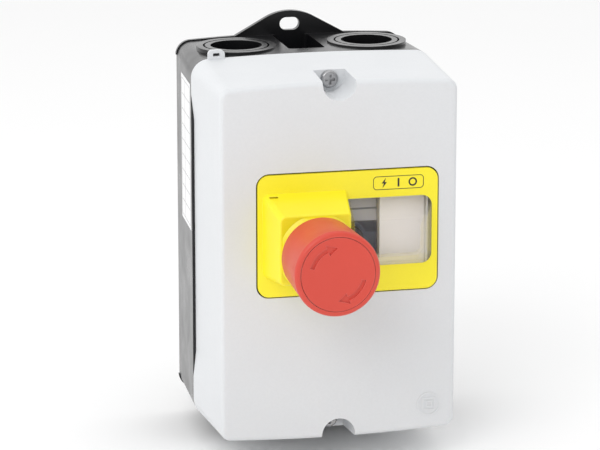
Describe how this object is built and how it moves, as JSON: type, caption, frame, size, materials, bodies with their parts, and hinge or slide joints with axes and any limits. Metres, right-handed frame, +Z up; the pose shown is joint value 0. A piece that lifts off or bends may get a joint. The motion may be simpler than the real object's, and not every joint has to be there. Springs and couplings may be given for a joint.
{
  "type": "enclosed magnetic motor starter",
  "caption": "Wall box for starting a motor: light cover on a dark base, yellow plate with a red push-to-stop mushroom head and a raised clear window over the breaker inside.",
  "frame": {"origin": "on the wall plane, midway across and midway up the box", "axes": "+X to the right seen from the front, +Y into the wall, +Z up"},
  "size_m": [0.1202, 0.1657, 0.2054],
  "materials": {
    "black_case": "fine grained black moulding",
    "light_case": "fine grained light grey moulding",
    "yellow_plate": "satin yellow moulding",
    "clear_lens": "clear moulding",
    "red_head": "satin red moulding",
    "label": "blank white film",
    "rubber_seal": "matt",
    "zinc_steel": "zinc plated",
    "spring_steel": "drawn wire",
    "core_steel": "stacked sheet",
    "brass": "turned",
    "copper": "bare strip",
    "coil_copper": "enamelled wire",
    "device_dark": "dark slate moulding",
    "device_grey": "mid grey moulding",
    "device_light": "light grey moulding",
    "carrier_plastic": "dark moulding",
    "button_black": "satin",
    "button_red": "satin",
    "dial_grey": "moulded"
  },
  "bodies": {
    "base": {"enclosure_base": "black_case", "base_top_end": "black_case", "rating_label": "label", "base_gasket": "rubber_seal", "screw_inserts": "brass", "din_rail": "zinc_steel", "mounting_screws": "zinc_steel", "breaker_housing": "device_dark", "breaker_front": "device_dark", "breaker_guide_plate": "carrier_plastic", "breaker_button_springs": "spring_steel", "breaker_line_strips": "copper", "breaker_load_strips": "copper", "breaker_terminal_nuts": "zinc_steel", "breaker_terminal_screws": "zinc_steel", "breaker_bar_springs": "spring_steel", "breaker_trip_coils": "coil_copper", "breaker_bimetals": "core_steel", "breaker_arc_plates": "zinc_steel", "auxiliary_block": "device_light", "auxiliary_strips": "brass", "auxiliary_screws": "zinc_steel", "link_bars": "copper", "contactor_base": "device_dark", "contactor_head": "device_grey", "contactor_core": "core_steel", "contactor_bobbin": "device_light", "contactor_winding": "coil_copper", "contactor_coil_tabs": "brass", "contactor_fixed_contacts": "copper", "contactor_terminal_nuts": "zinc_steel", "contactor_terminal_screws": "zinc_steel", "contactor_return_springs": "spring_steel", "earth_terminal": "brass"},
    "cover": {"enclosure_cover": "light_case", "cover_screws": "zinc_steel", "operator_plate": "yellow_plate", "operator_plate_seal": "rubber_seal", "window_lens": "clear_lens", "estop_hub": "yellow_plate", "estop_nut": "device_dark", "estop_wiper": "rubber_seal", "estop_latch_sleeve": "carrier_plastic", "estop_spring": "spring_steel"},
    "estop_slider": {"estop_stem": "carrier_plastic", "estop_clip": "spring_steel", "estop_pusher": "carrier_plastic"},
    "estop_knob": {"estop_head": "red_head", "estop_cap": "red_head"},
    "stop_button": {"breaker_stop_button": "button_red"},
    "contact_bar": {"breaker_contact_bar": "carrier_plastic", "breaker_moving_contacts": "copper"},
    "start_button": {"breaker_start_button": "button_black"},
    "trip_dial": {"breaker_trip_dial": "dial_grey"},
    "trip_plungers": {"breaker_trip_plungers": "core_steel"},
    "rail_clip": {"breaker_rail_clip": "zinc_steel"},
    "contactor_slide": {"contactor_armature": "core_steel", "contactor_carrier": "carrier_plastic", "contactor_bridges": "copper", "contactor_bridge_springs": "spring_steel"}
  },
  "joints": [
    {"name": "cover_lift_off", "type": "slide", "parent": "base", "child": "cover", "axis": [0, -1, 0], "range_m": [0, 0.09]},
    {"name": "estop_push", "type": "slide", "parent": "cover", "child": "estop_slider", "axis": [0, 1, 0], "range_m": [0, 0.004], "stiffness_N_per_m": 2500, "springref_m": -0.004, "deforming": ["estop_spring"]},
    {"name": "estop_twist", "type": "hinge", "parent": "estop_slider", "child": "estop_knob", "pos_m": [-0.0147, -0.15, 0.0094], "axis": [0, 1, 0], "range_deg": [0, 40], "stiffness_Nm_per_rad": 0.05, "springref_deg": -17.19},
    {"name": "stop_button_press", "type": "slide", "parent": "base", "child": "stop_button", "axis": [0, 1, 0], "range_m": [0, 0.004], "stiffness_N_per_m": 400, "springref_m": -0.003, "deforming": ["breaker_button_springs"]},
    {"name": "contact_bar_open", "type": "slide", "parent": "base", "child": "contact_bar", "axis": [0, 1, 0], "range_m": [0, 0.004], "stiffness_N_per_m": 600, "springref_m": -0.003, "deforming": ["breaker_bar_springs"]},
    {"name": "start_button_press", "type": "slide", "parent": "base", "child": "start_button", "axis": [0, 1, 0], "range_m": [0, 0.0035], "stiffness_N_per_m": 400, "springref_m": -0.003},
    {"name": "trip_dial_turn", "type": "hinge", "parent": "base", "child": "trip_dial", "pos_m": [-0.0015, -0.09, -0.0006], "axis": [0, 1, 0], "range_deg": [-120, 120]},
    {"name": "trip_plunger_strike", "type": "slide", "parent": "base", "child": "trip_plungers", "axis": [0, 0, 1], "range_m": [0, 0.003], "stiffness_N_per_m": 150, "springref_m": -0.003},
    {"name": "rail_clip_release", "type": "slide", "parent": "base", "child": "rail_clip", "axis": [0, 0, -1], "range_m": [0, 0.003], "stiffness_N_per_m": 1500, "springref_m": -0.003},
    {"name": "contactor_pull_in", "type": "slide", "parent": "base", "child": "contactor_slide", "axis": [0, 1, 0], "range_m": [0, 0.0039], "stiffness_N_per_m": 900, "springref_m": -0.004, "deforming": ["contactor_return_springs"]}
  ],
  "couplings": [
    {"joint": "stop_button_press", "follows": "estop_push", "ratio": 1},
    {"joint": "contact_bar_open", "follows": "estop_push", "ratio": 1}
  ]
}
